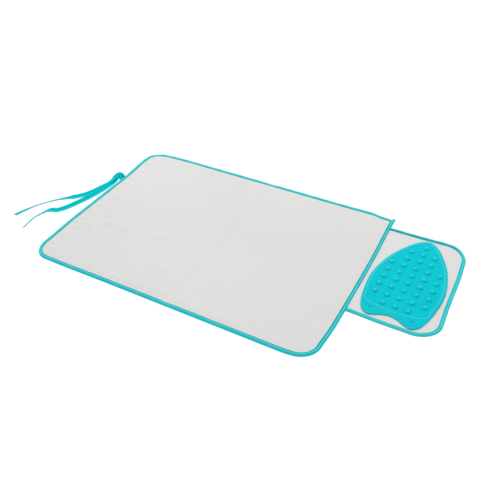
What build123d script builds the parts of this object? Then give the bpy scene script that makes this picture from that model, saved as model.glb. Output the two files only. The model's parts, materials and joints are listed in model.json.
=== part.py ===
"""A padded travel ironing mat with a fold-over flap that carries a studded silicone iron rest.

Origin: the middle of the mat's underside.  +X runs along the mat towards the flap, +Y across it to
the far long side, +Z up.  Units are millimetres.  The soft layers are plain flat solids.
"""
from build123d import *
import math
import os

# ---- The mat ----
MAT_LENGTH = 650.0          # along X, over the binding
MAT_WIDTH = 470.0           # along Y, over the binding
MAT_CORNER = 38.0           # radius of the three rounded corners; the far right one is square
CREASE_X = 14.0             # the mat folds in half here
CREASE_GAP = 0.6            # clearance between the two halves at the crease

# ---- The flap ----
FLAP_REACH = 171.0          # how far the flap stands out from the mat's right side
FLAP_NEAR_Y = -91.0
FLAP_FAR_Y = 200.0
FLAP_CORNER = 47.0
FLAP_GAP = 1.0              # clearance between the flap and the mat's binding
SEAM_ALLOWANCE = 9.0        # the flap's raw edge inside the mat

# ---- Cloth and tape ----
TAPE = 0.5                  # thickness of the binding tape
MAT_LIP = 9.5               # width of binding seen on the mat's face
FLAP_LIP = 8.5
STITCH_INSET = 2.0          # from the binding's inner edge
THREAD_WIDTH = 0.5
THREAD_HEIGHT = 0.3
# Thickness of each layer from the underside up.  The backing counts one tape over its own
# thickness, because the binding's lower lip is let into it.
MAT_LAYERS = (("backing", 1.0), ("barrier", 0.3), ("wadding", 2.8), ("cover", 0.4))
FLAP_LAYERS = (("backing", 0.9), ("barrier", 0.2), ("wadding", 2.0), ("cover", 0.4))
MAT_HEIGHT = sum(thick for _, thick in MAT_LAYERS) + TAPE
FLAP_HEIGHT = sum(thick for _, thick in FLAP_LAYERS) + TAPE
TAIL = 7.0                  # the binding's end runs past the square corner

# ---- The silicone iron rest, in its own frame: u to the side, v from the nose to the heel ----
REST_NOSE = (411.0, 187.0)  # where the nose is on the flap
REST_TURN = 1.5             # degrees the rest is turned clockwise, seen from above
REST_PLATE = 2.2
REST_SIDE = ((21.5, 13.0), (40.5, 41.0), (58.5, 78.0), (71.0, 126.0), (74.0, 166.0), (68.0, 214.0))
REST_LOBE = ((53.0, 255.0), (41.0, 263.5), (29.0, 258.5))  # the round end of one heel lobe
REST_LOBE_WAY = (-0.405, -0.914)                           # which way the side runs into it
REST_HEEL_V = 251.0         # middle of the heel's hollow edge
STUD_ROWS = (1, 3, 3, 5, 5, 5, 5, 5, 3)
STUD_FIRST_V = 27.0
STUD_PITCH = 24.8
STUD_RADIUS = 5.8
STUD_HEIGHT = 3.0
TACK_AT = (41.0, 245.5)     # the two sewn tacks at the heel
TACK_SIZE = (9.0, 3.0, 0.5)

# ---- The tie ribbons ----
RIBBON_WIDTH = 16.0
RIBBON_THICK = 1.2
RIBBON_Y = 88.0             # where both are sewn into the left edge
TIE_FOLD_X = -342.0         # both ribbons fold over towards the near side here
REAR_ROOT_Z = 0.8
FRONT_ROOT_Z = 2.2
REAR_Z = 0.0
FRONT_Z = 1.4               # the front ribbon lies on the rear one
BAR_TACK = (1.6, 12.0, 0.4)
REAR_ROUTE = (
    (-343.5, 76.5), (-342.0, 53.0), (-348.0, 24.0), (-359.0, -6.0), (-380.0, -31.0),
    (-403.0, -57.0), (-424.0, -83.0), (-438.0, -115.0), (-449.0, -151.0),
)
FRONT_ROUTE = (
    (-341.0, 76.5), (-335.5, 53.0), (-336.5, 24.0), (-343.5, -6.0), (-353.0, -36.0), (-364.0, -64.0),
    (-378.0, -90.0), (-392.0, -111.0), (-400.0, -134.0), (-401.0, -157.0), (-396.5, -178.0),
)

HALF_L = MAT_LENGTH / 2
HALF_W = MAT_WIDTH / 2
FLAP_X0 = HALF_L + FLAP_GAP
FLAP_X1 = HALF_L + FLAP_REACH
BIG = 2000.0


def slab(sketch, bottom, thick):
    """A flat outline raised to a plate that starts at height bottom."""
    return Pos(0, 0, bottom) * extrude(sketch, amount=thick)


def block(low, high):
    """A box from its lowest to its highest corner."""
    size = [b - a for a, b in zip(low, high)]
    middle = [(a + b) / 2 for a, b in zip(low, high)]
    return Pos(*middle) * Box(*size)


def slab_of_x(x0, x1):
    """A cutter that keeps what lies between two planes across X."""
    return block((x0, -BIG, -BIG), (x1, BIG, BIG))


LEFT_SIDE = slab_of_x(-BIG, CREASE_X - CREASE_GAP / 2)
RIGHT_SIDE = slab_of_x(CREASE_X + CREASE_GAP / 2, BIG)
FLAP_SIDE = slab_of_x(FLAP_X0, BIG)


def mat_outline(inset=0.0):
    """The mat's outline, shrunk by inset: three round corners and a square far right one."""
    sheet = Rectangle(MAT_LENGTH - 2 * inset, MAT_WIDTH - 2 * inset)
    corners = [v for v in sheet.vertices() if v.X < 0 or v.Y < 0]
    return fillet(corners, MAT_CORNER - inset)


def flap_outline(inset=0.0):
    """The flap's outline, run on under the mat so that its inner side is cut off square later."""
    inner = HALF_L - FLAP_REACH
    sheet = Pos((inner + FLAP_X1) / 2, (FLAP_NEAR_Y + FLAP_FAR_Y) / 2) * Rectangle(
        FLAP_X1 - inner - 2 * inset, FLAP_FAR_Y - FLAP_NEAR_Y - 2 * inset
    )
    corners = [v for v in sheet.vertices() if v.X > HALF_L]
    return fillet(corners, FLAP_CORNER - inset)


def folded_tape(outline, lip, height):
    """Binding tape folded round an edge: a lip above, a lip below and a wall between them."""
    lips = outline() - outline(lip)
    wall = outline() - outline(TAPE)
    lower = slab(lips, 0, TAPE)
    upper = slab(lips, height - TAPE, TAPE)
    return lower + slab(wall, TAPE, height - 2 * TAPE) + upper


def thread_line(outline, lip, height):
    """The row of stitches that holds a binding, as one raised line on its upper lip."""
    inset = lip - STITCH_INSET
    line = outline(inset) - outline(inset + THREAD_WIDTH)
    return slab(line, height, THREAD_HEIGHT)


def layers(outline, lip, stack):
    """The cloth layers inside a binding, by name, each lying on the one below."""
    made, bottom = {}, 0.0
    for name, thick in stack:
        made[name] = slab(outline(TAPE), bottom, thick)
        bottom += thick
    lower_lip = slab(outline() - outline(lip), 0, TAPE)
    made["backing"] -= lower_lip
    return made


def mat_parts():
    """The mat's layers and binding, split at the crease."""
    parts = {}
    stack = layers(mat_outline, MAT_LIP, MAT_LAYERS)
    pocket_z = dict(MAT_LAYERS)["backing"]
    allowance = block(
        (HALF_L - TAPE - SEAM_ALLOWANCE, FLAP_NEAR_Y, pocket_z),
        (HALF_L - TAPE, FLAP_FAR_Y, pocket_z + 2 * TAPE),
    )
    for name in ("barrier", "wadding"):
        stack[name] -= allowance
    for name, solid in stack.items():
        parts[name + "_left"] = solid & LEFT_SIDE
        parts[name + "_right"] = solid & RIGHT_SIDE
    parts["flap_seam_allowance"] = allowance

    binding = folded_tape(mat_outline, MAT_LIP, MAT_HEIGHT)
    parts["binding_left"] = binding & LEFT_SIDE
    far_edge = block((CREASE_X, HALF_W - MAT_LIP, -1), (HALF_L - MAT_LIP, HALF_W, MAT_HEIGHT + 1))
    parts["binding_far_right"] = binding & RIGHT_SIDE & far_edge
    tail_foot = (HALF_L - MAT_LIP, HALF_W, 0)
    tail = block(tail_foot, (HALF_L, HALF_W + TAIL, MAT_HEIGHT))
    tail -= block((HALF_L - MAT_LIP - 1, HALF_W, TAPE), (HALF_L - TAPE, BIG, MAT_HEIGHT - TAPE))
    parts["binding_near_right"] = (binding & RIGHT_SIDE) - far_edge + tail

    thread = thread_line(mat_outline, MAT_LIP, MAT_HEIGHT)
    parts["binding_stitch_left"] = thread & LEFT_SIDE
    parts["binding_stitch_right"] = thread & RIGHT_SIDE
    return parts


def flap_parts():
    """The flap's layers and binding; its binding goes round three sides."""
    parts = {}
    for name, solid in layers(flap_outline, FLAP_LIP, FLAP_LAYERS).items():
        parts["flap_" + name] = solid & FLAP_SIDE
    parts["flap_binding"] = folded_tape(flap_outline, FLAP_LIP, FLAP_HEIGHT) & FLAP_SIDE
    parts["flap_binding_stitch"] = thread_line(flap_outline, FLAP_LIP, FLAP_HEIGHT) & FLAP_SIDE
    return parts


def rest_outline():
    """Half of the sole-shaped plate, from the nose down one side to the heel, and its mirror."""
    nose, heel = (0.0, 0.0), (0.0, -REST_HEEL_V)
    lobe_side, lobe_end, lobe_inside = ((u, -v) for u, v in REST_LOBE)
    side = [nose] + [(u, -v) for u, v in REST_SIDE] + [lobe_side]
    flank = Spline(*side, tangents=((1, 0), REST_LOBE_WAY))
    lobe = ThreePointArc(lobe_side, lobe_end, lobe_inside)
    hollow = TangentArc(heel, lobe_inside, tangent=(1, 0))
    half = [flank, lobe, hollow]
    other = [edge.mirror(Plane.YZ) for edge in half]
    return make_face(Curve() + half + other)


def stud_places():
    """(u, v) of every stud: rows of one, three or five on a square pitch."""
    for row, count in enumerate(STUD_ROWS):
        for column in range(count):
            yield (column - (count - 1) / 2) * STUD_PITCH, STUD_FIRST_V + row * STUD_PITCH


def dome():
    """One low round stud, a cap of a sphere, standing on height zero."""
    ball_radius = (STUD_RADIUS**2 + STUD_HEIGHT**2) / (2 * STUD_HEIGHT)
    ball = Pos(0, 0, STUD_HEIGHT - ball_radius) * Sphere(ball_radius)
    return ball & block((-BIG, -BIG, -0.2), (BIG, BIG, BIG))


def rest_parts():
    """The studded silicone plate and the two tacks that hold its heel to the flap."""
    on_cover = FLAP_HEIGHT - TAPE
    place = Pos(REST_NOSE[0], REST_NOSE[1], on_cover) * Rot(0, 0, -REST_TURN)
    plate = extrude(rest_outline(), amount=REST_PLATE)
    stud = dome()
    studs = [Pos(u, -v, REST_PLATE) * stud for u, v in stud_places()]
    tack = Pos(0, 0, REST_PLATE + TACK_SIZE[2] / 2) * Box(*TACK_SIZE)
    tacks = [Pos(side * TACK_AT[0], -TACK_AT[1]) * tack for side in (-1, 1)]
    return {
        "iron_rest": place * (plate + studs),
        "rest_tacks": place * Compound(tacks),
    }


def open_route(points):
    """Straight runs joined by the largest arcs that fit, and the radius of each arc."""
    route = [Vector(*p) for p in points]
    radii = []
    for before, here, after in zip(route, route[1:], route[2:]):
        turn = math.radians((here - before).get_angle(after - here))
        shorter = min((here - before).length, (after - here).length)
        radii.append(0.45 * shorter / math.tan(turn / 2))
    return FilletPolyline(*route, radius=radii), radii


def ribbon(points, bottom):
    """A flat tape along a route, lying level with its underside at height bottom."""
    middle = bottom + RIBBON_THICK / 2
    path, radii = open_route([(x, y, middle) for x, y in points])
    section = Plane(path @ 0, z_dir=path % 0, x_dir=(0, 0, 1)) * Rectangle(RIBBON_THICK, RIBBON_WIDTH)
    tape = sweep(section, path=path)
    share = tape.volume / (RIBBON_THICK * RIBBON_WIDTH * path.length)
    print("ribbon length", round(path.length, 1), "volume over section x length", round(share, 4))
    print("  radii", [round(r) for r in radii])
    return tape


def ribbon_root(bottom):
    """The ribbon's first stretch, from the binding to the fold, with a round outer end."""
    half = RIBBON_WIDTH / 2
    length = -HALF_L - TIE_FOLD_X
    strip = Pos(TIE_FOLD_X + length / 2, RIBBON_Y) * Rectangle(length, RIBBON_WIDTH)
    return slab(strip + Pos(TIE_FOLD_X, RIBBON_Y) * Circle(half), bottom, RIBBON_THICK)


def tie_parts():
    """Two ribbons sewn one on the other into the left edge, and the tack across them."""
    tack_x = -HALF_L - 1.5 - BAR_TACK[0] / 2
    tack_z = FRONT_ROOT_Z + RIBBON_THICK + BAR_TACK[2] / 2
    return {
        "tie_ribbon_rear_root": ribbon_root(REAR_ROOT_Z),
        "tie_ribbon_front_root": ribbon_root(FRONT_ROOT_Z),
        "tie_bar_tack": Pos(tack_x, RIBBON_Y, tack_z) * Box(*BAR_TACK),
        "tie_ribbon_rear": ribbon(REAR_ROUTE, REAR_Z),
        "tie_ribbon_front": ribbon(FRONT_ROUTE, FRONT_Z),
    }


os.makedirs("parts", exist_ok=True)
for made in (mat_parts(), flap_parts(), rest_parts(), tie_parts()):
    for node, solid in made.items():
        solid.label = node
        export_step(solid, f"parts/{node}.step")
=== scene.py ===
import json
import math

import bmesh
import bpy
import numpy as np
from mathutils import Matrix, Vector, geometry


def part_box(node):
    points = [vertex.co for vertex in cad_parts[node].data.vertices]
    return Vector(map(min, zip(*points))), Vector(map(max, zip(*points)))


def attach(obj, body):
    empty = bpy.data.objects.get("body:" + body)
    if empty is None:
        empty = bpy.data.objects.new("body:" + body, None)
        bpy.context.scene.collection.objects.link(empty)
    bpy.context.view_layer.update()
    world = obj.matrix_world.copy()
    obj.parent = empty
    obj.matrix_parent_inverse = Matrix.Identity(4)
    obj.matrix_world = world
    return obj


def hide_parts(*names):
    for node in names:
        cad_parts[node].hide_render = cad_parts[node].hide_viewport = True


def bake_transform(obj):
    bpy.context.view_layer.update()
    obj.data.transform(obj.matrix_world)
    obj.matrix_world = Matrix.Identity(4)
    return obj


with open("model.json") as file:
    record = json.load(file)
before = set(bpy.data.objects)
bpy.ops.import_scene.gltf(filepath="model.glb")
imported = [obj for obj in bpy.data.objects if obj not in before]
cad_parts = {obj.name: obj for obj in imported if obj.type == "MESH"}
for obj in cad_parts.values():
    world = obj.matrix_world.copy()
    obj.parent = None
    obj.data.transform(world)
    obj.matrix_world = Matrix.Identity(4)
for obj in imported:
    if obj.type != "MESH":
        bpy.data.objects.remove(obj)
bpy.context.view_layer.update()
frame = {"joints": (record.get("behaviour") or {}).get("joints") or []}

# Everything is in metres, in the frame of the CAD model: origin at the middle of the mat's underside,
# +X towards the flap, +Y to the far long side, +Z up.
MM = 0.001

# ---- Places and sizes, from the frame ----
LEFT_LOW, LEFT_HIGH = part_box("binding_left")
_, RIGHT_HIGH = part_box("binding_near_right")
FLAP_LOW, FLAP_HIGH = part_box("flap_binding")
REST_LOW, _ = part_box("iron_rest")
JOINTS = {joint["name"]: joint for joint in frame["joints"]}

LEFT, RIGHT = LEFT_LOW.x, RIGHT_HIGH.x
NEAR, FAR = LEFT_LOW.y, LEFT_HIGH.y
TAIL_END = RIGHT_HIGH.y - 4.5 * MM   # before its end is cut on the slant
MAT_TOP = LEFT_HIGH.z
FLAP_TOP = FLAP_HIGH.z
CREASE_X = JOINTS["main_fold"]["pos_m"][0]
SEAM_X = JOINTS["flap_fold"]["pos_m"][0]

MAT_CORNER = 38 * MM        # radii of the round corners
FLAP_CORNER = 47 * MM
MAT_LIP = 8.6 * MM          # how far the bindings reach over the cloth
FLAP_LIP = 8.5 * MM
FLAP_TUCK = 8 * MM          # how far the flap's cloth runs on inside the mat's edge
EDGE_STEP = 2.2 * MM        # between the stations along a binding
STITCH_PITCH = 3.4 * MM
STITCH_LONG = 2.6 * MM
STITCH_THICK = 0.28 * MM    # radius
SETTLE_FRAMES = 30          # frames of cloth simulation for the cover
FOLD_SHARE = 0.8            # how much of the simulated folds' height is kept


# ---- Camera, lights and floor ----
def add_object(name, data):
    added = bpy.data.objects.new(name, data)
    bpy.context.scene.collection.objects.link(added)
    return added


def make_camera():
    """One camera, looking down across the mat from the near right."""
    turn, down, roll = math.radians(-28.62), math.radians(38.70), math.radians(-0.41)
    forward = Vector((math.sin(turn) * math.cos(down), math.cos(turn) * math.cos(down), -math.sin(down)))
    right = Vector((math.cos(turn), -math.sin(turn), 0))
    up = right.cross(forward)
    rolled_right = math.cos(roll) * right + math.sin(roll) * up
    rolled_up = math.cos(roll) * up - math.sin(roll) * right
    data = bpy.data.cameras.new("camera")
    data.lens, data.sensor_width = 45.46, 36.0
    data.clip_start, data.clip_end = 0.05, 20.0
    camera = add_object("camera", data)
    turned = Matrix((rolled_right, rolled_up, -forward)).transposed()
    camera.matrix_world = Matrix.Translation((0.5578, -0.9055, 0.8265)) @ turned.to_4x4()
    bpy.context.scene.camera = camera


def flat_square(name, half_x, half_y, height):
    """A level rectangle about the origin."""
    mesh = bpy.data.meshes.new(name)
    corners = [(sx * half_x, sy * half_y, height) for sx, sy in ((-1, -1), (1, -1), (1, 1), (-1, 1))]
    mesh.from_pydata(corners, [], [(0, 1, 2, 3)])
    return add_object(name, mesh)


def make_studio():
    """A white floor, a large soft box above and behind, and an even white surround."""
    world = bpy.data.worlds.new("studio")
    world.use_nodes = True
    surround = world.node_tree.nodes["Background"]
    surround.inputs["Color"].default_value = (1.0, 1.0, 1.0, 1.0)
    surround.inputs["Strength"].default_value = 0.76
    bpy.context.scene.world = world
    bpy.context.scene.view_settings.view_transform = "Standard"
    data = bpy.data.lights.new("back_box", "AREA")
    data.shape, data.size, data.size_y, data.energy = "RECTANGLE", 1.3, 1.0, 86
    light = add_object("back_box", data)
    light.location = (-1.1, 1.9, 3.4)
    light.rotation_euler = (Vector((0.05, 0.0, 0.0)) - light.location).to_track_quat("-Z", "Y").to_euler()

    floor = flat_square("floor", 6.0, 6.0, -0.2 * MM)
    material, _, shader = new_material("floor_white")
    shader.inputs["Base Color"].default_value = (0.0, 0.0, 0.0, 1.0)
    shader.inputs["Roughness"].default_value = 1.0
    shader.inputs["Specular IOR Level"].default_value = 0.0
    shader.inputs["Emission Color"].default_value = (1.0, 1.0, 1.0, 1.0)
    shader.inputs["Emission Strength"].default_value = 1.05
    floor.data.materials.append(material)


# ---- Materials ----
def new_material(name):
    """A node material and its Principled shader."""
    material = bpy.data.materials.new(name)
    material.use_nodes = True
    return material, material.node_tree, material.node_tree.nodes["Principled BSDF"]


def add_node(tree, kind, **settings):
    node = tree.nodes.new(kind)
    for key, value in settings.items():
        setattr(node, key, value)
    return node


def plug(tree, socket, value):
    """Feeds a socket from another one, or sets it to a plain value."""
    if isinstance(value, bpy.types.NodeSocket):
        tree.links.new(value, socket)
    else:
        socket.default_value = value


def math_node(tree, operation, *values):
    """A Math node on its inputs, each a socket or a number."""
    node = add_node(tree, "ShaderNodeMath", operation=operation)
    for socket, value in zip(node.inputs, values):
        plug(tree, socket, value)
    return node.outputs[0]


def mix_colours(tree, first, second, factor=1.0, blend="MULTIPLY"):
    node = add_node(tree, "ShaderNodeMix", data_type="RGBA", blend_type=blend)
    for name, value in (("Factor", factor), ("A", first), ("B", second)):
        plug(tree, node.inputs[name], value)
    return node.outputs["Result"]


def uv_place(tree, name):
    return add_node(tree, "ShaderNodeUVMap", uv_map=name).outputs["UV"]


def uv_axes(tree, name):
    node = add_node(tree, "ShaderNodeSeparateXYZ")
    tree.links.new(uv_place(tree, name), node.inputs[0])
    return node.outputs


def add_bump(tree, shader, height, distance, strength=1.0):
    bump = add_node(tree, "ShaderNodeBump")
    bump.inputs["Strength"].default_value = strength
    bump.inputs["Distance"].default_value = distance
    tree.links.new(height, bump.inputs["Height"])
    tree.links.new(bump.outputs["Normal"], shader.inputs["Normal"])


def noise_value(tree, coordinates, scale, detail=2.0, roughness=0.5):
    node = add_node(tree, "ShaderNodeTexNoise")
    node.inputs["Scale"].default_value = scale
    node.inputs["Detail"].default_value = detail
    node.inputs["Roughness"].default_value = roughness
    tree.links.new(coordinates, node.inputs["Vector"])
    return node.outputs["Fac"]


def ramp(tree, value, stops):
    """A colour ramp from (position, colour) stops, linear colours."""
    node = add_node(tree, "ShaderNodeValToRGB")
    elements = node.color_ramp.elements
    while len(elements) < len(stops):
        elements.new(0.5)
    for element, (position, colour) in zip(elements, stops):
        element.position = position
        element.color = (*colour, 1.0)
    tree.links.new(value, node.inputs["Fac"])
    return node.outputs["Color"]


def thread_waves(tree, coordinates, pitch):
    """The height of a plain weave with one thread every pitch, from 0 to 1."""
    bands = []
    for direction in ("X", "Y"):
        wave = add_node(tree, "ShaderNodeTexWave", wave_type="BANDS", bands_direction=direction)
        wave.inputs["Scale"].default_value = 2 * math.pi / (20 * pitch)
        wave.inputs["Distortion"].default_value = 0.4
        wave.inputs["Detail"].default_value = 0.0
        tree.links.new(coordinates, wave.inputs["Vector"])
        bands.append(wave.outputs["Fac"])
    return math_node(tree, "MULTIPLY", bands[0], bands[1])


def tape_painted_shading(tree, painted_shading, later_painted_shading):
    """Painted shade and highlight across a tape, from its inner edge to its outer; later_painted_shading,
    (stops, from, to), takes over along it.
    """
    across = uv_axes(tree, "across")
    shade = ramp(tree, across["Y"], painted_shading)
    if later_painted_shading:
        later_stops, change_from, change_to = later_painted_shading
        change = add_node(tree, "ShaderNodeMapRange")
        change.inputs["From Min"].default_value = change_from
        change.inputs["From Max"].default_value = change_to
        tree.links.new(across["X"], change.inputs["Value"])
        later_shade = ramp(tree, across["Y"], later_stops)
        shade = mix_colours(tree, shade, later_shade, change.outputs["Result"], "MIX")
    return shade


def cloth_material(name, stops, pitch, roughness, sheen, weave_height, uneven_scale=6.0, painted_shading=None,
                   specular=0.12, painted_light_slant=None, later_painted_shading=None):
    """Woven cloth: a weave in the bump, with painted shade where it sits low, an uneven tone, and soft sheen
    at grazing angles.

    stops colour the cloth along a slow noise, which painted_light_slant slants along X and Y as a painted
    light gradient; painted_shading paints shade and highlight across a tape.
    """
    material, tree, shader = new_material(name)
    place = uv_place(tree, "cloth")
    uneven_shade = noise_value(tree, place, uneven_scale, 3.0)
    # Painted light: the colour slants along X and Y, lighter the way the slant points.
    if painted_light_slant:
        slant = add_node(tree, "ShaderNodeVectorMath", operation="DOT_PRODUCT")
        plug(tree, slant.inputs[0], place)
        plug(tree, slant.inputs[1], (*painted_light_slant, 0.0))
        uneven_shade = math_node(tree, "ADD", uneven_shade, slant.outputs["Value"])
    colour = ramp(tree, uneven_shade, stops)
    # Painted shade and highlight: a tape's colour is multiplied by its painted shading ramp, from inner edge
    # to outer.
    if painted_shading:
        colour = mix_colours(tree, colour, tape_painted_shading(tree, painted_shading, later_painted_shading))
    weave = thread_waves(tree, place, pitch)
    # Painted shade: the colour darkens by up to a tenth where the weave sits low.
    plug(tree, shader.inputs["Base Color"], mix_colours(tree, colour, weave, 0.10))
    fuzz = noise_value(tree, place, 0.35 / pitch, 2.0)
    plug(tree, shader.inputs["Roughness"], math_node(tree, "MULTIPLY_ADD", fuzz, 0.12, roughness - 0.06))
    shader.inputs["Sheen Weight"].default_value = sheen
    shader.inputs["Sheen Roughness"].default_value = 0.45
    shader.inputs["Specular IOR Level"].default_value = specular
    add_bump(tree, shader, math_node(tree, "MULTIPLY_ADD", fuzz, 0.5, weave), weave_height, 0.5)
    return material


def silicone_material():
    """Moulded silicone: satin, faintly uneven, with a fine skin, and a painted highlight, lighter where
    "across" says so.
    """
    material, tree, shader = new_material("silicone_turquoise")
    place = add_node(tree, "ShaderNodeTexCoord").outputs["Object"]
    cloud = noise_value(tree, place, 14.0, 2.0)
    colour = ramp(tree, cloud, [(0.3, (0.0, 0.480, 0.548)), (0.7, (0.0, 0.510, 0.580))])
    # Painted highlight: the raised line and the studs' tops are lightened towards a pale turquoise by half of
    # the "across" mask.
    painted_highlight = math_node(tree, "MULTIPLY", uv_axes(tree, "across")["Y"], 0.5)
    colour = mix_colours(tree, colour, (0.12, 0.68, 0.72, 1.0), painted_highlight, "MIX")
    plug(tree, shader.inputs["Base Color"], colour)
    grain = noise_value(tree, place, 900.0, 3.0)
    plug(tree, shader.inputs["Roughness"], math_node(tree, "MULTIPLY_ADD", grain, 0.14, 0.30))
    shader.inputs["Specular IOR Level"].default_value = 0.03
    add_bump(tree, shader, grain, 0.06 * MM, 0.25)
    return material


def film_material():
    """Metallised film, crinkled."""
    material, tree, shader = new_material("metallised_film")
    crinkle = noise_value(tree, uv_place(tree, "cloth"), 160.0, 4.0, 0.7)
    shader.inputs["Base Color"].default_value = (0.8, 0.8, 0.82, 1.0)
    shader.inputs["Metallic"].default_value = 0.9
    plug(tree, shader.inputs["Roughness"], math_node(tree, "MULTIPLY_ADD", crinkle, 0.2, 0.2))
    add_bump(tree, shader, crinkle, 0.4 * MM)
    return material


def make_materials():
    """Every material by its short name; the painted shading ramps are factors on red, green and blue."""
    teal = [(0.35, (0.016, 0.52, 0.55)), (0.65, (0.02, 0.55, 0.58))]
    # Painted shade and highlight across the binding tapes, inner edge to outer. The dark-inner set has a
    # shaded line and darker band inside, a pale highlight on the crown, a shaded line past it and a lit outer
    # roll. The pale-inner set lightens from the inner edge to the outer. The dark-inner set takes over part
    # way along each tape.
    painted_shading_dark_inner = [(0, (0, 0.48, 0.49)), (0.08, (0, 0.68, 0.69)), (0.4, (0.1, 0.74, 0.75)),
                 (0.48, (5, 1.16, 1.22)), (0.62, (7, 1.2, 1.26)), (0.72, (0.3, 0.94, 0.96)),
                 (0.88, (1.5, 1.18, 1.18)), (1, (0.6, 1.14, 1.14))]
    painted_shading_pale_inner = [(0, (0.3, 0.75, 0.75)), (0.08, (1, 0.95, 0.95)), (0.38, (2.2, 1.02, 1.02)),
                  (0.6, (2.8, 1.14, 1.15)), (0.86, (3, 1.2, 1.17)), (1, (1.5, 1.16, 1.13))]
    ribbon_teal = [(0.35, (0, 0.48, 0.51)), (0.65, (0, 0.51, 0.54))]
    # Painted shade and highlight across the ribbons: a shaded line at one selvedge and along the pressed
    # fold, a lit strip by the other selvedge.
    ribbon_painted_shading = [(0, (1, 0.9, 0.9)), (0.05, (1, 1.1, 1.11)), (0.4, (1, 1.14, 1.16)),
                   (0.47, (1, 0.7, 0.7)), (0.53, (1, 0.72, 0.72)), (0.58, (1, 0.92, 0.92)),
                   (0.8, (1, 0.9, 0.9)), (0.9, (1, 1.3, 1.3)), (1, (1, 1.25, 1.25))]
    grey = [(0.3, (0.655, 0.655, 0.642)), (0.7, (0.69, 0.69, 0.678))]
    light_grey = [(0.3, (0.69, 0.684, 0.674)), (0.7, (0.705, 0.699, 0.689))]
    back = [(0.3, (0.62, 0.62, 0.605)), (0.7, (0.655, 0.655, 0.64))]
    white = [(0.3, (0.78, 0.78, 0.76)), (0.7, (0.86, 0.86, 0.84))]
    thread = [(0.3, (0.02, 0.36, 0.38)), (0.7, (0.03, 0.42, 0.44))]
    # The bar tack's thread, near black: a real tack, coloured as painted shadow for the dark gap under the
    # ribbons where they leave the edge.
    tack_thread_and_shadow = [(0.3, (0, 0.07, 0.08)), (0.7, (0, 0.11, 0.12))]
    face = {"pitch": 0.55 * MM, "roughness": 0.72, "sheen": 0.05, "weave_height": 0.05 * MM}
    tape = {"pitch": 0.45 * MM, "sheen": 0, "weave_height": 0.06 * MM, "uneven_scale": 40}
    edge = {**tape, "roughness": 0.75, "painted_shading": painted_shading_pale_inner, "specular": 0.03}
    fine = {"pitch": 0.2 * MM, "weave_height": 0.03 * MM}
    return {
        # Painted light on the cover: lighter towards the flap side and the far edge.
        "cover": cloth_material("cover_cloth_grey", grey, uneven_scale=3, painted_light_slant=(0.1, 0.08), **face),
        "flap_cover": cloth_material("flap_cloth_grey", light_grey, **face),
        "backing": cloth_material("backing_cloth_grey", back, 0.8 * MM, 0.85, 0.1, 0.1 * MM),
        "binding": cloth_material("binding_tape_turquoise", teal, later_painted_shading=(painted_shading_dark_inner, 1.08, 1.14), **edge),
        "flap_binding": cloth_material("flap_tape_turquoise", teal, later_painted_shading=(painted_shading_dark_inner, 0.42, 0.46),
                                       **edge),
        "ribbon": cloth_material("ribbon_turquoise", ribbon_teal, roughness=0.7, painted_shading=ribbon_painted_shading,
                                 specular=0.02, **tape),
        "thread": cloth_material("thread_turquoise", thread, roughness=0.5, sheen=0.2, **fine),
        "tack": cloth_material("tack_thread_and_painted_shadow", tack_thread_and_shadow, roughness=0.6, sheen=0, **fine),
        "wadding": cloth_material("wadding_white", white, 1.4 * MM, 0.95, 0.3, 0.3 * MM, 60),
        "film": film_material(),
        "silicone": silicone_material(),
    }


# ---- Mesh helpers ----
def smoothstep(low, high, value):
    share = np.clip((value - low) / (high - low), 0, 1)
    return share * share * (3 - 2 * share)


def hill(distance, width):
    """A bell curve: 1 at distance 0, and near 0 past twice the width."""
    return np.exp(-0.5 * (distance / width) ** 2)


def unit(ways):
    """Directions scaled to length 1, one in each row."""
    return ways / np.linalg.norm(ways, axis=-1, keepdims=True)


def running_length(points):
    """How far along a line each of its points is."""
    return np.concatenate([[0], np.cumsum(np.linalg.norm(np.diff(points, axis=0), axis=1))])


def read_along(places, at, values):
    """The rows of values, known at the distances at, read at other places."""
    return np.column_stack([np.interp(places, at, column) for column in values.T])


def ring_faces(rows, ring, caps=2):
    """The faces between rows of points, ring points in each, with none, one or both ends closed."""
    faces = [
        (r * ring + k, r * ring + (k + 1) % ring, (r + 1) * ring + (k + 1) % ring, (r + 1) * ring + k)
        for r in range(rows - 1) for k in range(ring)
    ]
    ends = [tuple(range(ring)), tuple(range((rows - 1) * ring, rows * ring))]
    return faces + ends[:caps]


def make_piece(name, points, faces, material, cloth_uv=None, across_uv=None, closed=True):
    """A smooth mesh object from numpy points, with up to two UV maps; a closed one is turned outwards."""
    mesh = bpy.data.meshes.new(name)
    mesh.from_pydata([tuple(p) for p in points], [], [tuple(f) for f in faces])
    corner_points = np.zeros(len(mesh.loops), np.int32)
    mesh.loops.foreach_get("vertex_index", corner_points)
    for label, values in (("cloth", cloth_uv), ("across", across_uv)):
        if values is not None:
            layer = mesh.uv_layers.new(name=label)
            layer.data.foreach_set("uv", np.asarray(values, np.float32)[corner_points].ravel())
    if closed:
        editing = bmesh.new()
        editing.from_mesh(mesh)
        bmesh.ops.recalc_face_normals(editing, faces=editing.faces)
        editing.to_mesh(mesh)
        editing.free()
    mesh.polygons.foreach_set("use_smooth", [True] * len(mesh.polygons))
    mesh.materials.append(material)
    return add_object(name, mesh)


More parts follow.
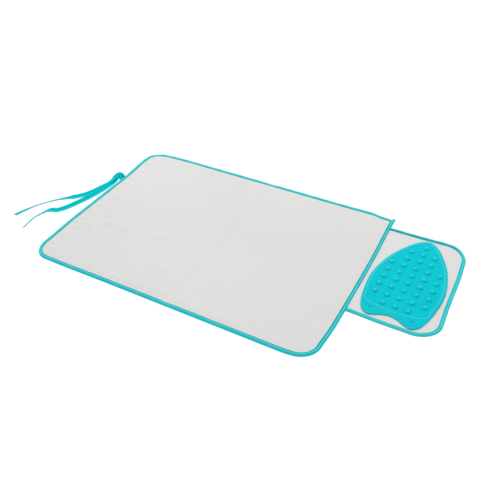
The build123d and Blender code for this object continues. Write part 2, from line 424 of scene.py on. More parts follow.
def rounded_path(corners, radii, step):
    """Stations along an open polyline with round corners: points, normals to the right, and distances."""
    corners = [Vector(c) for c in corners]
    points = [corners[0]]
    for before, here, after, radius in zip(corners, corners[1:], corners[2:], radii):
        into, out = (here - before).normalized(), (after - here).normalized()
        half = into.angle(out) / 2
        sign = 1 if into.cross(out) > 0 else -1
        cut = radius * math.tan(half)
        start = here - into * cut
        centre = start - radius * Vector((into.y, -into.x)) * sign
        turns = max(4, round(2 * half * radius / step))
        for k in range(turns + 1):
            angle = sign * 2 * half * k / turns
            points.append(centre + Matrix.Rotation(angle, 2) @ (start - centre))
    points.append(corners[-1])
    raw = np.array([tuple(p) for p in points])
    lengths = running_length(raw)
    at = np.linspace(0, lengths[-1], round(lengths[-1] / step) + 1)
    line = read_along(at, lengths, raw)
    way = unit(np.gradient(line, axis=0))
    return line, np.column_stack([way[:, 1], -way[:, 0]]), at


def sweep_profile(line, normals, at, profile, swell):
    """A closed profile of (inset, height) carried along a path: points, faces and both UVs."""
    rows, ring = len(line), len(profile)
    points, cloth, across = np.zeros((rows, ring, 3)), np.zeros((rows, ring, 2)), np.zeros((rows, ring, 2))
    points[..., :2] = line[:, None, :] - normals[:, None, :] * profile[None, :, :1]
    points[..., 2] = profile[None, :, 1] * swell[:, None]
    cloth[..., 0] = across[..., 0] = at[:, None]
    cloth[..., 1] = running_length(profile)[None, :]
    across[..., 1] = np.clip(1 - profile[:, 0] / profile[:, 0].max(), 0, 1)[None, :]
    return points.reshape(-1, 3), ring_faces(rows, ring), cloth.reshape(-1, 2), across.reshape(-1, 2)


def sheet_grid(low, high, corners, step, extra_columns):
    """A grid of quads over a rectangle with some round corners: flat points and faces.

    corners holds (sign of x, sign of y, radius) for each round corner.  Points past a corner's arc are
    pulled back onto it, and squares wholly past it are left out.  extra_columns stand where it bends.
    """
    columns = np.linspace(low[0], high[0], round((high[0] - low[0]) / step) + 1)
    far_off = np.abs(columns[:, None] - extra_columns[None, :]).min(axis=1) > 0.45 * step
    columns = np.sort(np.concatenate([columns[far_off], extra_columns]))
    rows = np.linspace(low[1], high[1], round((high[1] - low[1]) / step) + 1)
    x, y = np.meshgrid(columns, rows, indexing="ij")
    flat = np.column_stack([x.ravel(), y.ravel()])
    outside = np.zeros(len(flat), bool)
    for sign_x, sign_y, radius in corners:
        centre = np.array([(high if sign_x > 0 else low)[0] - sign_x * radius,
                           (high if sign_y > 0 else low)[1] - sign_y * radius])
        arm = (flat - centre) * (sign_x, sign_y)
        reach = np.linalg.norm(arm, axis=1)
        past = (arm[:, 0] > 0) & (arm[:, 1] > 0) & (reach > radius * 1.0001)
        flat[past] = centre + arm[past] / reach[past][:, None] * radius * (sign_x, sign_y)
        outside |= past
    tall = len(rows)
    faces = []
    for i in range(len(columns) - 1):
        for j in range(tall - 1):
            face = (i * tall + j, (i + 1) * tall + j, (i + 1) * tall + j + 1, i * tall + j + 1)
            if not all(outside[k] for k in face):
                faces.append(face)
    used = sorted({k for face in faces for k in face})
    renumber = {old: new for new, old in enumerate(used)}
    return flat[used], [tuple(renumber[k] for k in face) for face in faces]


def evaluated(piece):
    """A piece as its modifiers make it."""
    return piece.evaluated_get(bpy.context.evaluated_depsgraph_get())


def thicken(piece, thickness):
    """Gives a sheet its thickness downwards, as real faces."""
    solid = piece.modifiers.new("thickness", "SOLIDIFY")
    solid.thickness, solid.offset = thickness, -1.0
    solid.use_even_offset = False
    mesh = bpy.data.meshes.new_from_object(evaluated(piece))
    piece.modifiers.clear()
    old, piece.data = piece.data, mesh
    bpy.data.meshes.remove(old)


# ---- The mat ----
def mat_drift(points):
    """How the laid-out mat departs from its true outline and from lying flat, in place; in millimetres."""
    x, y = points[:, 0] / MM, points[:, 1] / MM
    left, right, near, far = LEFT / MM, RIGHT / MM, NEAR / MM, FAR / MM
    left_side, right_side = smoothstep(left + 90, left, x), smoothstep(right - 140, right, x)
    near_side, far_side = smoothstep(near + 60, near, y), smoothstep(far - 60, far, y)
    far_left = hill(x - left, 40) * hill(y - 172, 32)
    near_left = hill(x - left, 26) * hill(y - near, 26)
    shift_x = right_side * (0.8 * hill(y + 40, 60) - 4.6 * smoothstep(60, far, y))
    shift_x -= right_side * 4.5 * smoothstep(-130, -225, y)
    shift_x += left_side * 3.4 * smoothstep(-90, -190, y) + 2.5 * near_left - 3.0 * far_left
    shift_y = near_side * (4.0 * smoothstep(262, 315, x) - 1.0 * hill(x + 235, 50) - 1.8)
    shift_y += far_side * (1.2 * hill(x - 262, 22) - 4.0 * smoothstep(272, 298, x))
    shift_y -= far_side * (6.0 * hill(x + 318, 34) + 2.4)
    points += np.column_stack([shift_x, shift_y, 1.6 * far_left]) * MM
    return points


def flap_drift(points):
    """The flap's departures: thinner where it goes in under the mat's edge, and pulled about a little."""
    x, y = points[:, 0] / MM, points[:, 1] / MM
    inner, outer, near, far = RIGHT / MM, FLAP_HIGH.x / MM, FLAP_LOW.y / MM, FLAP_HIGH.y / MM
    points[:, 2] *= 0.5 + 0.5 * smoothstep(inner - 9, inner - 4, x)
    points[:, 2] *= 1 + 0.25 * smoothstep(far - 22, far - 5, y)
    shift_x = smoothstep(outer - 60, outer, x) * (2.2 * hill(y + 50, 28) - 3.0 * smoothstep(90, 160, y))
    shift_y = smoothstep(far - 60, far, y) * (2.4 * hill(x - 442, 26) - 1.6)
    shift_y += smoothstep(near + 60, near, y) * (3.2 - 2.0 * smoothstep(326, 395, x))
    points[:, 0] += shift_x * MM
    points[:, 1] += shift_y * MM
    return points


def binding_profile(lip, top):
    """The folded tape's closed section, as (inset, height): over a soft roll and back along its inside.

    The upper lip starts low on the cover, dips at its row of stitches and swells to the crown.
    """
    lip, high = lip / MM, top / MM
    profile = [
        (lip - 0.1, high - 1.15), (lip + 0.05, high - 0.85), (lip - 0.25, high - 0.6),
        (lip - 0.9, high - 0.38), (lip - 1.6, high - 0.34), (lip - 2.1, high - 0.28),
        (lip - 2.8, high + 0.1), (lip - 3.6, high + 0.6), (lip - 4.6, high + 1.0), (lip - 5.8, high + 1.2),
        (lip - 7.0, high + 0.9), (1.5, high + 0.3), (0.7, high - 0.5), (0.2, high - 1.5), (0.0, 0.5 * high),
        (0.2, 1.2), (0.75, 0.45), (1.7, 0.08), (4.0, 0.0), (lip - 1.0, 0.0), (lip, 0.12), (lip - 0.1, 0.45),
        (4.0, 0.5), (1.7, 0.75), (0.85, 0.5 * high), (1.6, high - 0.75), (4.0, high - 0.2),
        (lip - 2.5, high - 0.75),
    ]
    return np.array(profile) * MM


def mat_edge_path():
    """Round the mat from the square corner, past three round ones, to the tape's loose end."""
    corners = [(RIGHT - 7 * MM, FAR), (LEFT, FAR), (LEFT, NEAR), (RIGHT, NEAR), (RIGHT, TAIL_END)]
    return rounded_path(corners, [MAT_CORNER] * 3, EDGE_STEP)


def flap_edge_path():
    """Round the flap from under the mat's edge and back under it."""
    inner, outer = RIGHT - FLAP_TUCK, FLAP_HIGH.x
    corners = [(inner, FLAP_LOW.y), (outer, FLAP_LOW.y), (outer, FLAP_HIGH.y), (inner, FLAP_HIGH.y)]
    return rounded_path(corners, [FLAP_CORNER] * 2, EDGE_STEP)


def uneven(at, seed, wave, depth):
    """A slow, repeatable wander of size depth about 0 along a path."""
    phases = np.random.default_rng(seed).uniform(0, 2 * math.pi, 4)
    total = sum(np.sin(2 * math.pi * at / (wave * k) + p) / k for k, p in zip((1.0, 1.7, 2.9, 0.6), phases))
    return depth * total / 2


def bend_at_crease(piece):
    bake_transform(piece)


def bend_at_seam(piece):
    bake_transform(piece)


def make_binding(name, path, lip, top, swell, place, material, bend, nodes):
    """A tape along an edge path; place is the function that shapes its even sweep."""
    line, normals, at = path
    wander = 1 + uneven(at, *swell)
    points, faces, cloth, across = sweep_profile(line, normals, at, binding_profile(lip, top), wander)
    binding = make_piece(name, place(points), faces, material, cloth, across)
    bend(binding)
    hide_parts(*nodes)


def place_mat_edge(points):
    """Pinches the edge flat at the crease, where the mat has been folded, and lets it drift."""
    points[:, 2] *= 1 - 0.10 * hill(points[:, 0] - CREASE_X, 12 * MM)
    return mat_drift(points)


def shape_tail(points):
    """The tape's loose end past the far edge: pressed lower, spread wider and cut on the slant."""
    x, y = points[:, 0].copy(), points[:, 1].copy()
    loose = smoothstep(FAR - 16 * MM, FAR, y) * (x > RIGHT - MAT_LIP - 1 * MM)
    off_middle = x - (RIGHT - MAT_LIP / 2)
    points[:, 0] += loose * (0.25 * off_middle - 0.8 * MM)
    points[:, 1] += loose * 0.55 * off_middle
    points[:, 2] -= loose * 0.9 * MM * smoothstep(2 * MM, MAT_TOP, points[:, 2])
    return points


def stitch_row(line, normals, at, inset, height, side):
    """Single stitches along a path, each a small spindle whose ends sink into the tape."""
    centres = at[0] + (np.arange(int((at[-1] - at[0]) / STITCH_PITCH)) + 0.5) * STITCH_PITCH
    outward = unit(read_along(centres, at, normals))
    along = np.column_stack([-outward[:, 1], outward[:, 0]])
    spots = read_along(centres, at, line) - outward * inset
    shape = [(-0.5, 0.0), (-0.42, 0.62), (0.0, 1.0), (0.42, 0.62), (0.5, 0.0)]  # (share of length, fatness)
    sides = 6
    points, faces, uvs = [], [], []
    for k, centre in enumerate(centres):
        first = len(points)
        for share, fat in shape:
            sunk = height - side * 0.9 * STITCH_THICK * (2 * share) ** 2
            middle = spots[k] + along[k] * share * STITCH_LONG
            for turn in range(sides if fat > 0 else 1):
                angle = 2 * math.pi * turn / sides
                out = middle + outward[k] * math.cos(angle) * STITCH_THICK * fat
                points.append((*out, sunk + math.sin(angle) * STITCH_THICK * fat))
                uvs.append((centre + share * STITCH_LONG, STITCH_THICK * turn))
        last = len(points) - 1
        for t in range(sides):
            u = (t + 1) % sides
            near, middle, far = [(first + 1 + r * sides + t, first + 1 + r * sides + u) for r in range(3)]
            faces += [(first, *near), (near[0], middle[0], middle[1], near[1]),
                      (middle[0], far[0], far[1], middle[1]), (far[0], last, far[1])]
    return np.array(points), faces, np.array(uvs)


def make_stitches(prefix, path, lip, top, swell, place, material, bend, nodes):
    """The row of stitches that holds a binding, seen above and below."""
    for suffix, height, side in (("top", top - 0.30 * MM, 1), ("under", 0.12 * MM, -1)):
        points, faces, uvs = stitch_row(*path, lip - 1.85 * MM, height, side)
        if suffix == "top":
            points[:, 2] *= 1 + uneven(uvs[:, 0], *swell)
        row = make_piece(f"{prefix}_stitches_{suffix}", place(points), faces, material, uvs)
        bend(row)
        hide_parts(*nodes)


def make_mat_edge(looks):
    edge = (mat_edge_path(), MAT_LIP, MAT_TOP, (3, 55 * MM, 0.035))
    make_binding("mat_binding", *edge, lambda points: place_mat_edge(shape_tail(points)),
                 looks["binding"], bend_at_crease,
                 ("binding_left", "binding_far_right", "binding_near_right"))
    make_stitches("mat", *edge, place_mat_edge, looks["thread"], bend_at_crease,
                  ("binding_stitch_left", "binding_stitch_right"))


def make_flap_edge(looks):
    edge = (flap_edge_path(), FLAP_LIP, FLAP_TOP, (8, 50 * MM, 0.035))
    make_binding("flap_binding_tape", *edge, flap_drift, looks["flap_binding"], bend_at_seam,
                 ("flap_binding",))
    make_stitches("flap", *edge, flap_drift, looks["thread"], bend_at_seam, ("flap_binding_stitch",))


def mat_sheet(inset, step):
    low, high = (LEFT + inset, NEAR + inset), (RIGHT - inset, FAR - inset)
    round_corners = [(sx, sy, MAT_CORNER - inset) for sx, sy in ((-1, 1), (-1, -1), (1, -1))]
    return sheet_grid(low, high, round_corners, step, CREASE_X + np.arange(-9, 10) * 1.0 * MM)


def flap_sheet(inset, step):
    low, high = (RIGHT - FLAP_TUCK, FLAP_LOW.y + inset), (FLAP_HIGH.x - inset, FLAP_HIGH.y - inset)
    round_corners = [(1, sy, FLAP_CORNER - inset) for sy in (1, -1)]
    return sheet_grid(low, high, round_corners, step, SEAM_X + np.arange(-3, 8) * 1.0 * MM)


def inside_edge(flat, low=(LEFT, NEAR), high=(RIGHT, FAR), corner=0.0):
    """How far each point is inside a rectangle, the mat's unless told otherwise; its corners may be round."""
    across = np.minimum(flat[:, 0] - low[0], high[0] - flat[:, 0])
    along = np.minimum(flat[:, 1] - low[1], high[1] - flat[:, 1])
    in_corner = (across < corner) & (along < corner)
    return np.where(in_corner, corner - np.hypot(corner - across, corner - along), np.minimum(across, along))


# Faint folds in the cover: from, to, half width and height, in millimetres
FOLDS = [
    ((-147, 206), (-133, 75), 5, 1.2), ((-105, 150), (-43, 68), 5, 0.9), ((-300, 14), (-248, -4), 5, 1.1),
    ((-292, 12), (-272, -46), 5, 1.2), ((-255, -86), (-194, -71), 6, 1.2), ((-218, -118), (-190, -78), 5, 1),
    ((-288, -98), (-250, -112), 5, 1.1), ((-122, -90), (-95, -46), 6, 0.9), ((-250, 205), (-205, 130), 7, 1),
    ((40, -196), (250, -203), 9, -0.9), ((-300, 120), (-262, 72), 6, 1.2), ((-180, 190), (-196, 120), 5, 0.9),
    ((-60, -150), (10, -176), 7, 0.8), ((14, 120), (14, -120), 7, -0.25),
]


def fold_heights(x, y):
    """The height the folds add, each fading out to both its ends."""
    total = np.zeros(len(x))
    for (x0, y0), (x1, y1), width, height in FOLDS:
        run = math.hypot(x1 - x0, y1 - y0)
        way = ((x1 - x0) / run, (y1 - y0) / run)
        along = ((x / MM - x0) * way[0] + (y / MM - y0) * way[1]) / run
        across = (x / MM - x0) * way[1] - (y / MM - y0) * way[0] + 4 * np.sin(along * 5)
        shape = hill(across, width) - 0.55 * hill(across - 2.2 * width, width)
        total += height * MM * shape * smoothstep(-0.25, 0.25, along) * (1 - smoothstep(0.75, 1.25, along))
    return total


def pucker_heights(x, y, inside):
    """Little gathers just inside the binding, where the seam draws the cover in; more at the left."""
    along_side = np.where(np.minimum(y - NEAR, FAR - y) < np.minimum(x - LEFT, RIGHT - x), x, y)
    wander = 2.0 * np.sin(along_side / (17 * MM)) + 1.4 * np.sin(along_side / (41 * MM))
    ripple = np.sin(along_side / (3.6 * MM) + wander)
    more = 1 - 0.75 * smoothstep(-120 * MM, 120 * MM, x)
    return 1.15 * MM * more * ripple * hill(inside - 20 * MM, 12 * MM)


def cover_height(flat):
    """The cover's top: pressed under the lip, softly padded inside, and drawn down a little at the crease."""
    inside = inside_edge(flat)
    x, y = flat[:, 0], flat[:, 1]
    height = MAT_TOP - 0.95 * MM + 0.7 * MM * smoothstep(8 * MM, 30 * MM, inside)
    waves = 0.22 * np.sin(x * 31 + y * 17 + 0.6) + 0.18 * np.sin(x * 23 - y * 39 + 2.1)
    waves += 0.12 * np.sin(x * 61 + y * 13)
    height += smoothstep(10 * MM, 40 * MM, inside) * 0.5 * waves * MM
    height -= 0.35 * MM * hill(x - CREASE_X, 3.0 * MM) * (0.25 + 0.75 * smoothstep(-140 * MM, 20 * MM, y))
    return height


def add_folds(cover, flat):
    """Raises the cover's faint folds and gathers; their troughs stay clear of the wadding."""
    points = np.array([v.co for v in cover.data.vertices])
    inside = inside_edge(flat, corner=MAT_CORNER)
    x, y = flat[:, 0], flat[:, 1]
    lift = np.maximum(fold_heights(x, y) + pucker_heights(x, y, inside), -0.3 * MM)
    points[:, 2] += smoothstep(9 * MM, 16 * MM, inside) * lift
    cover.data.vertices.foreach_set("co", points.astype(np.float32).ravel())
    cover.data.update()


def settle_cover(cover, flat):
    """Drops the cover, cut a trace too large, on the padding; keeps a share of the folds this gives."""
    before = np.array([v.co for v in cover.data.vertices])
    inside = inside_edge(flat, corner=MAT_CORNER)
    held = cover.vertex_groups.new(name="held")
    held.add([int(k) for k in np.flatnonzero(inside < 10 * MM)], 1.0, "REPLACE")
    held.add([int(k) for k in np.flatnonzero(np.abs(flat[:, 0] - CREASE_X) < 2 * MM)], 0.5, "REPLACE")
    pad = flat_square("pad", 0.4, 0.3, MAT_TOP - 3.0 * MM)
    pad.modifiers.new("collision", "COLLISION")
    pad.collision.thickness_outer = 1.0 * MM
    cloth = cover.modifiers.new("cloth", "CLOTH")
    settings = {"quality": 5, "mass": 0.2, "tension_stiffness": 20, "compression_stiffness": 20,
                "bending_stiffness": 0.4, "shrink_min": -0.006, "vertex_group_mass": "held"}
    for key, value in settings.items():
        setattr(cloth.settings, key, value)
    cloth.collision_settings.distance_min = 1.0 * MM
    cloth.collision_settings.use_self_collision = False
    cloth.point_cache.frame_start, cloth.point_cache.frame_end = 1, SETTLE_FRAMES
    scene = bpy.context.scene
    for frame_number in range(1, SETTLE_FRAMES + 1):
        scene.frame_set(frame_number)
    settled = evaluated(cover).to_mesh()
    rise = np.array([v.co for v in settled.vertices])[:, 2] - before[:, 2]
    cover.modifiers.clear()
    bpy.data.objects.remove(pad)
    scene.frame_set(1)
    rise -= np.median(rise)
    before[:, 2] += np.clip(rise * FOLD_SHARE, -0.8 * MM, 0.8 * MM) * smoothstep(9 * MM, 30 * MM, inside)
    cover.data.vertices.foreach_set("co", before.astype(np.float32).ravel())
    cover.vertex_groups.clear()
    cover.data.update()


def shape_cover(cover, flat):
    settle_cover(cover, flat)
    add_folds(cover, flat)


def make_layer(name, grid, height, thick, material, place, nodes, shape=None):
    """One laid sheet: a grid raised to its height, put in place, shaped and given its thickness.

    place holds the drift of the body that the sheet belongs to, and a function that bakes the sheet's
    transform.
    """
    flat, faces = grid
    drift, bend = place
    points = np.column_stack([flat, np.broadcast_to(height, len(flat))])
    layer = make_piece(name, drift(points), faces, material, flat, closed=False)
    if shape:
        shape(layer, flat)
    thicken(layer, thick)
    bend(layer)
    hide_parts(*nodes)
    return layer


def make_mat_layers(looks):
    place = (mat_drift, bend_at_crease)
    grid = mat_sheet(1.2 * MM, 4 * MM)
    cover = make_layer("mat_cover", grid, cover_height(grid[0]), 0.4 * MM, looks["cover"], place,
                       ("cover_left", "cover_right"), shape_cover)
    grid = mat_sheet(2.0 * MM, 8 * MM)
    wadding = make_layer("mat_wadding", grid, 3.55 * MM, 2.2 * MM, looks["wadding"], place,
                         ("wadding_left", "wadding_right"))
    barrier = make_layer("mat_barrier", grid, 1.25 * MM, 0.2 * MM, looks["film"], place,
                         ("barrier_left", "barrier_right"))
    grid = mat_sheet(1.2 * MM, 5 * MM)
    under = 1.0 * MM - 0.4 * MM * smoothstep(9 * MM, 22 * MM, inside_edge(grid[0]))
    backing = make_layer("mat_backing", grid, under, 0.45 * MM, looks["backing"], place,
                         ("backing_left", "backing_right"))


def inside_flap(flat):
    """How far each point is inside the flap's three bound sides."""
    return inside_edge(flat, (RIGHT - 1, FLAP_LOW.y), (FLAP_HIGH.x, FLAP_HIGH.y))


def make_flap_layers(looks):
    place = (flap_drift, bend_at_seam)
    grid = flap_sheet(1.2 * MM, 5 * MM)
    x, y = grid[0].T
    inside = inside_flap(grid[0])
    height = FLAP_TOP - 0.90 * MM + 0.35 * MM * smoothstep(8 * MM, 22 * MM, inside)
    height += smoothstep(8 * MM, 20 * MM, inside) * 0.08 * MM * np.sin(x * 90 + 2 * np.sin(y * 31))
    cover = make_layer("flap_cover_cloth", grid, height, 0.35 * MM, looks["flap_cover"], place,
                       ("flap_cover", "flap_seam_allowance"))
    grid = flap_sheet(2.0 * MM, 7 * MM)
    felt = make_layer("flap_wadding_felt", grid, 2.6 * MM, 1.4 * MM, looks["wadding"], place,
                      ("flap_wadding",))
    film = make_layer("flap_barrier_film", grid, 1.1 * MM, 0.15 * MM, looks["film"], place,
                      ("flap_barrier",))
    under = 0.7 * MM + 0.3 * MM * (1 - smoothstep(8 * MM, 18 * MM, inside_flap(grid[0])))
    backing = make_layer("flap_backing_cloth", grid, under, 0.4 * MM, looks["backing"], place,
                         ("flap_backing",))


# ---- The silicone iron rest, in its own frame: u to the side, v back from the nose ----
# All in millimetres, apart from the nose's place
REST_NOSE = Vector((411, 187)) * MM
REST_TURN = math.radians(1.5)
REST_PLATE = 2.2
REST_HALF = [
    (0, 0), (21.5, 13), (40.5, 41), (58.5, 78), (71, 126), (74, 166), (69.5, 210), (63.5, 238), (56, 256),
    (43, 265.5), (29, 262.5), (14, 255), (0, 252.5),
]
BEAD_HALF = [
    (0, 5.5), (18.5, 17), (36, 44), (53.5, 80), (66, 127), (69, 166), (63.5, 208), (60, 226), (40, 235),
    (0, 241),
]
REST_RIM = [(2.4, 0.25), (0.9, 0.35), (0.2, 0.75), (0.0, 1.25), (0.25, 1.85), (0.9, 2.15), (1.8, REST_PLATE)]
STUD_ROWS = (1, 3, 3, 5, 5, 5, 5, 5, 3)
STUD_FIRST_V, STUD_PITCH, STUD_RADIUS, STUD_HEIGHT = 27.0, 24.8, 6.8, 3.9
STUD_RINGS = (1.6, 3.0, 4.3, 5.4, 6.2, STUD_RADIUS, 7.6)
TACK_U, TACK_V = 41.0, 245.5
SLOT_WIDE, SLOT_TALL = 6.0, 3.2      # half sizes of the shallow slots under the tacks


def rest_to_frame(points):
    """Points (u, v, height) of the rest's own frame, put on the flap."""
    points = np.asarray(points, float) * MM
    x, y = points[:, 0], -points[:, 1]
    c, s = math.cos(REST_TURN), -math.sin(REST_TURN)
    turned = np.column_stack([x * c - y * s, x * s + y * c, points[:, 2]])
    return turned + (REST_NOSE.x, REST_NOSE.y, REST_LOW.z)


def closed_through(half, spacing):
    """A smooth closed line through a half outline and its mirror, evenly spaced."""
    p = np.array([*half, *[(-u, v) for u, v in reversed(half[1:-1])]], float)
    before, after, later = np.roll(p, 1, 0), np.roll(p, -1, 0), np.roll(p, -2, 0)
    fine = []
    for t in np.linspace(0, 1, 24, endpoint=False):
        fine.append(0.5 * (2 * p + (after - before) * t + (2 * before - 5 * p + 4 * after - later) * t**2
                           + (3 * p - before - 3 * after + later) * t**3))
    ring = np.stack(fine, axis=1).reshape(-1, 2)
    ring = np.vstack([ring, ring[:1]])
    lengths = running_length(ring)
    at = np.linspace(0, lengths[-1], round(lengths[-1] / spacing), endpoint=False)
    return read_along(at, lengths, ring)


def inset_ring(ring, distance):
    way = unit(np.roll(ring, -1, 0) - np.roll(ring, 1, 0))
    return ring + np.column_stack([-way[:, 1], way[:, 0]]) * distance


def stud_centres():
    for row, count in enumerate(STUD_ROWS):
        for column in range(count):
            yield (column - (count - 1) / 2) * STUD_PITCH, STUD_FIRST_V + row * STUD_PITCH


def oval(u, v, wide, tall):
    """Twenty points round an oval."""
    turns = np.linspace(0, 2 * math.pi, 20, endpoint=False)
    return [(u + wide * math.cos(a), v + tall * math.sin(a)) for a in turns]


def distance_to(ring, points):
    """How far each point is from the nearest of a ring's."""
    return np.array([np.hypot(*(ring - p[:2]).T).min() for p in points])


def rest_top(points, to_bead):
    """Height of the rest's upper face: studs, the thin raised line and the two slots at the heel."""
    height = np.full(len(points), REST_PLATE)
    height += 0.75 * np.clip(1 - (to_bead / 1.3) ** 2, 0, None) ** 1.5
    for u, v in stud_centres():
        away = np.hypot(points[:, 0] - u, points[:, 1] - v)
        bowl = np.clip(1 - (away / STUD_RADIUS) ** 2, 0, None)
        height = np.where(away < STUD_RADIUS, REST_PLATE + STUD_HEIGHT * bowl**0.9, height)
    for side in (-1, 1):
        away = np.hypot((points[:, 0] - side * TACK_U) / SLOT_WIDE, (points[:, 1] - TACK_V) / SLOT_TALL)
        height -= 0.5 * np.clip(1 - away**4, 0, None)
    return height


def rest_inner_points(edge, bead):
    """Points for the rest's top: round the studs and slots, along the bead, and a grid between."""
    inner = []
    for u, v in stud_centres():
        inner.append((u, v))
        for radius in STUD_RINGS:
            inner += oval(u, v, radius, radius)
    for offset in (-1.4, -0.7, 0.0, 0.7, 1.4):
        inner += [tuple(p) for p in inset_ring(bead, offset)[::2]]
    for side in (-1, 1):
        for scale in (0.3, 0.7, 0.95, 1.1):
            inner += oval(side * TACK_U, TACK_V, SLOT_WIDE * scale, SLOT_TALL * scale)
    studs = np.array(list(stud_centres()))
    for u in np.arange(-76, 77, 5.0):
        for v in np.arange(0, 268, 5.0):
            if np.hypot(studs[:, 0] - u, studs[:, 1] - v).min() > 8.2:
                inner.append((u, v))
    return [p for p in np.array(inner) if inside_ring(p, edge) and np.hypot(*(edge - p).T).min() > 0.5]


def make_iron_rest(looks):
    """The rim is a stack of rings; the top is a triangulation inside the last of them."""
    outline = closed_through(REST_HALF, 2.0)
    bead = closed_through(BEAD_HALF, 0.8)
    rings = [np.column_stack([inset_ring(outline, d), np.full(len(outline), z)]) for d, z in REST_RIM]
    edge = rings[-1][:, :2]
    loop = [(k, (k + 1) % len(edge)) for k in range(len(edge))]
    wanted = [Vector(p) for p in (*edge, *rest_inner_points(edge, bead))]
    flat, _, triangles, *_ = geometry.delaunay_2d_cdt(wanted, loop, [], 1, 1e-4)
    flat = np.array([tuple(p) for p in flat])

    # The triangulation's points on the edge are the last ring's own; the others are new.
    points = [tuple(p) for ring in rings for p in ring]
    number = []
    for p, height in zip(flat, rest_top(flat, distance_to(bead, flat))):
        near = np.hypot(*(edge - p).T)
        if near.min() < 1e-3:
            number.append((len(rings) - 1) * len(edge) + int(near.argmin()))
        else:
            number.append(len(points))
            points.append((*p, height))
    faces = ring_faces(len(rings), len(edge), caps=1)
    faces += [tuple(number[k] for k in triangle) for triangle in triangles]
    points = np.array(points)
    # Painted highlight mask for the silicone, kept in the "across" UV: the raised line along the bead and the
    # studs' tops.
    ridge_highlight = np.clip(1 - (distance_to(bead, points) / 1.2) ** 2, 0, 1) * (points[:, 2] > REST_PLATE + 0.2)
    crown = 0.85 * smoothstep(REST_PLATE + 0.72 * STUD_HEIGHT, REST_PLATE + STUD_HEIGHT, points[:, 2])
    rest = make_piece("iron_rest_silicone", rest_to_frame(points), faces, looks["silicone"],
                      across_uv=np.column_stack([points[:, 0], np.maximum(ridge_highlight, crown)]))
    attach(rest, "rest_flap")
    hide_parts("iron_rest")


def inside_ring(point, ring):
    """Whether a point is inside a closed ring, by counting crossings."""
    x0, y0 = ring[:, 0], ring[:, 1]
    x1, y1 = np.roll(x0, -1), np.roll(y0, -1)
    crosses = (y0 > point[1]) != (y1 > point[1])
    with np.errstate(divide="ignore", invalid="ignore"):
        at = x0 + (point[1] - y0) * (x1 - x0) / (y1 - y0)
    return int(np.sum(crosses & (point[0] < at))) % 2 == 1


def thread_tube(points, radius):
    """A thin round thread through a list of points: its points, faces and UVs."""
    points, sides = np.asarray(points, float), 6
    way = unit(np.gradient(points, axis=0))
    made, uvs = [], []
    for p, t, along in zip(points, way, running_length(points)):
        side = np.cross(t, (0, 0, 1.0))
        side = unit(side) if np.linalg.norm(side) > 1e-6 else np.array((1.0, 0, 0))
        up = np.cross(side, t)
        for a in np.arange(sides) * 2 * math.pi / sides:
            made.append(p + radius * (math.cos(a) * side + math.sin(a) * up))
            uvs.append((along, radius * a))
    return made, ring_faces(len(points), sides), uvs


def zigzag(centre, along, across, turns):
    """The path of a bar tack: a close zigzag about a centre."""
    along, across = np.array(along), np.array(across)
    steps = np.linspace(-0.5, 0.5, 2 * turns + 1)
    return [centre + along * s + across * (0.5 if k % 2 else -0.5) for k, s in enumerate(steps)]


def make_threads(name, paths, radius, material, body, node):
    """Threads along some paths, as one piece."""
    points, faces, uvs = [], [], []
    for path in paths:
        made, more, places = thread_tube(path, radius)
        faces += [tuple(k + len(points) for k in face) for face in more]
        points += made
        uvs += places
    threads = make_piece(name, points, faces, material, uvs)
    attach(threads, body)
    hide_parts(node)


def make_rest_tacks(looks):
    paths = []
    for side in (-1, 1):
        centre = np.array((side * TACK_U, TACK_V, REST_PLATE - 0.35))
        paths.append(rest_to_frame(zigzag(centre, (8.6, 0, 0), (0, 3.0, 0), 9)))
    make_threads("iron_rest_tacks", paths, 0.3 * MM, looks["thread"], "rest_flap", "rest_tacks")


# ---- The tie ribbons ----
RIBBON_WIDTH = 16 * MM
# Route points in millimetres, as in the CAD model, with the height at which the tape's middle runs.
REAR_ROUTE = [
    (-323.5, 90, 2.6), (-331, 91, 6.6), (-337, 92.5, 11.4), (-341, 85, 8.6), (-341.5, 73, 4.6),
    (-343, 54, 2.4), (-350, 24, 1.1), (-361, -6, 0.9), (-379.5, -31, 1.2), (-403, -57, 3.2),
    (-422, -86.5, 4.1), (-437.5, -115.5, 4), (-449, -151.5, 2.8),
]
FRONT_ROUTE = [
    (-323.5, 83.5, 3.4), (-330.5, 84, 5.6), (-335, 82.5, 6.4), (-337.5, 75.5, 5), (-337.5, 66, 3.8),
    (-337.5, 50, 3), (-339.5, 24, 2.5), (-345, -6, 2.3), (-354, -36, 1.8), (-364, -64, 1),
    (-376.5, -91, 1.2), (-385, -97.5, 4.6), (-392.5, -107, 5.2), (-399.5, -133.5, 5.2),
    (-399.5, -157, 5.4), (-394.5, -179, 5.5),
]
# How far the tape is banked, in degrees, at distances along it in millimetres; plus lifts the outer side.
REAR_BANK = [
    (0, 2), (8, -8), (18, 0), (27, -4), (36, -18), (48, -20), (60, -8), (75, 2), (152, 2), (162, -12),
    (172, -15), (184, -22), (200, -25), (216, -27.5), (246, -26), (256, -22), (270, -20), (292, -15),
]
FRONT_BANK = [
    (0, 2), (8, -20), (15, -14), (23, 8), (31, 14), (42, 10), (56, 5), (70, 2), (204, 4), (210, -6),
    (216, -18), (224, -25), (242, -30), (250, -33), (262, -36.5), (275, -39), (300, -40),
]


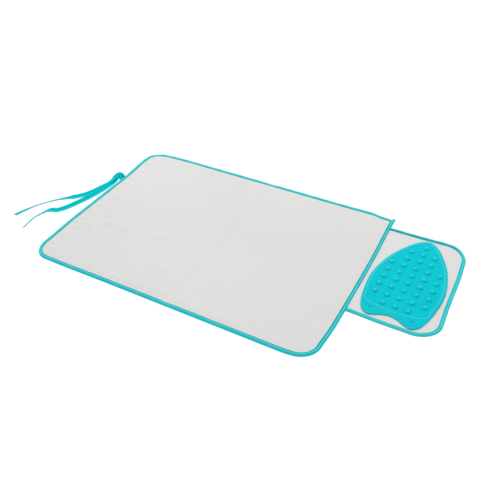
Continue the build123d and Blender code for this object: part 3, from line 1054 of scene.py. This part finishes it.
def route_line(route, spacing):
    """The smooth line of a route: a NURBS spline with the route's points as its control points."""
    data = bpy.data.curves.new("route", "CURVE")
    data.dimensions = "3D"
    spline = data.splines.new("NURBS")
    spline.points.add(len(route) - 1)
    for point, place in zip(spline.points, route):
        point.co = (*(Vector(place) * MM), 1.0)
    spline.order_u = 3
    spline.use_endpoint_u = True
    data.resolution_u = 24
    carrier = add_object("route", data)
    bpy.context.view_layer.update()
    mesh = bpy.data.meshes.new_from_object(evaluated(carrier))
    fine = np.array([v.co for v in mesh.vertices])
    bpy.data.objects.remove(carrier)
    bpy.data.meshes.remove(mesh)
    lengths = running_length(fine)
    at = np.linspace(0, lengths[-1], round(lengths[-1] / spacing) + 1)
    return read_along(at, lengths, fine), at


def ribbon_section():
    """The tape's closed section, (across, up): two thin layers with a pressed fold in the middle."""
    over = [(-8, 0.05), (-7.8, 0.42), (-7.2, 0.52), (-5.8, 0.4), (-3, 0.58), (-0.7, 0.6), (0, 0.34),
            (0.7, 0.6), (3, 0.56), (5.8, 0.52), (7.4, 0.46), (7.9, 0.3)]
    under = [(8, -0.05), (7.8, -0.4), (5, -0.52), (0.7, -0.52), (0, -0.4), (-0.7, -0.52), (-5, -0.52),
             (-7.8, -0.4)]
    return np.array(over + under) * MM


def make_ribbon(which, route, bank, looks):
    name = f"tie_ribbon_{which}"
    line, at = route_line(route, 2.0 * MM)
    angle = np.radians(np.interp(at / MM, *zip(*bank)))
    smooth = np.array([1, 2, 3, 2, 1]) / 9
    angle = np.convolve(np.pad(angle, 2, mode="edge"), smooth, mode="valid")
    section = ribbon_section()
    points, cloth, across = [], [], []
    for p, t, a, s in zip(line, unit(np.gradient(line, axis=0)), angle, at):
        level = unit(np.cross(t, (0, 0, 1.0)))
        up = np.cross(level, t)
        wide = math.cos(a) * level + math.sin(a) * up
        face = math.cos(a) * up - math.sin(a) * level
        for w, h in section:
            points.append(p + wide * w + face * h)
            cloth.append((s, w + RIBBON_WIDTH))
            across.append((s, 0.5 + w / RIBBON_WIDTH))
    points = np.array(points)
    points[:, 2] = np.maximum(points[:, 2], 0.05 * MM)
    faces = ring_faces(len(line), len(section))
    ribbon = make_piece(f"{name}_tape", points, faces, looks["ribbon"], cloth, across)
    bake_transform(ribbon)
    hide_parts(name, f"{name}_root")


def make_bar_tack(looks):
    """The close zigzag that holds both ribbons at the edge."""
    low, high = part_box("tie_bar_tack")
    middle = np.array((low + high) / 2) + (1.2 * MM, 0, 2.2 * MM)
    path = zigzag(middle, (0, 11 * MM, 0), (1.6 * MM, 0, 0), 12)
    # Its near-black thread is painted shadow for the gap under the ribbons' roots.
    make_threads("tie_tack", [path], 0.28 * MM, looks["tack"], "left_half", "tie_bar_tack")


# ---- The whole ----
make_camera()
make_studio()
looks = make_materials()
make_ribbon("rear", REAR_ROUTE, REAR_BANK, looks)
make_ribbon("front", FRONT_ROUTE, FRONT_BANK, looks)
make_bar_tack(looks)
make_mat_layers(looks)
make_mat_edge(looks)
make_flap_layers(looks)
make_flap_edge(looks)
make_iron_rest(looks)
make_rest_tacks(looks)
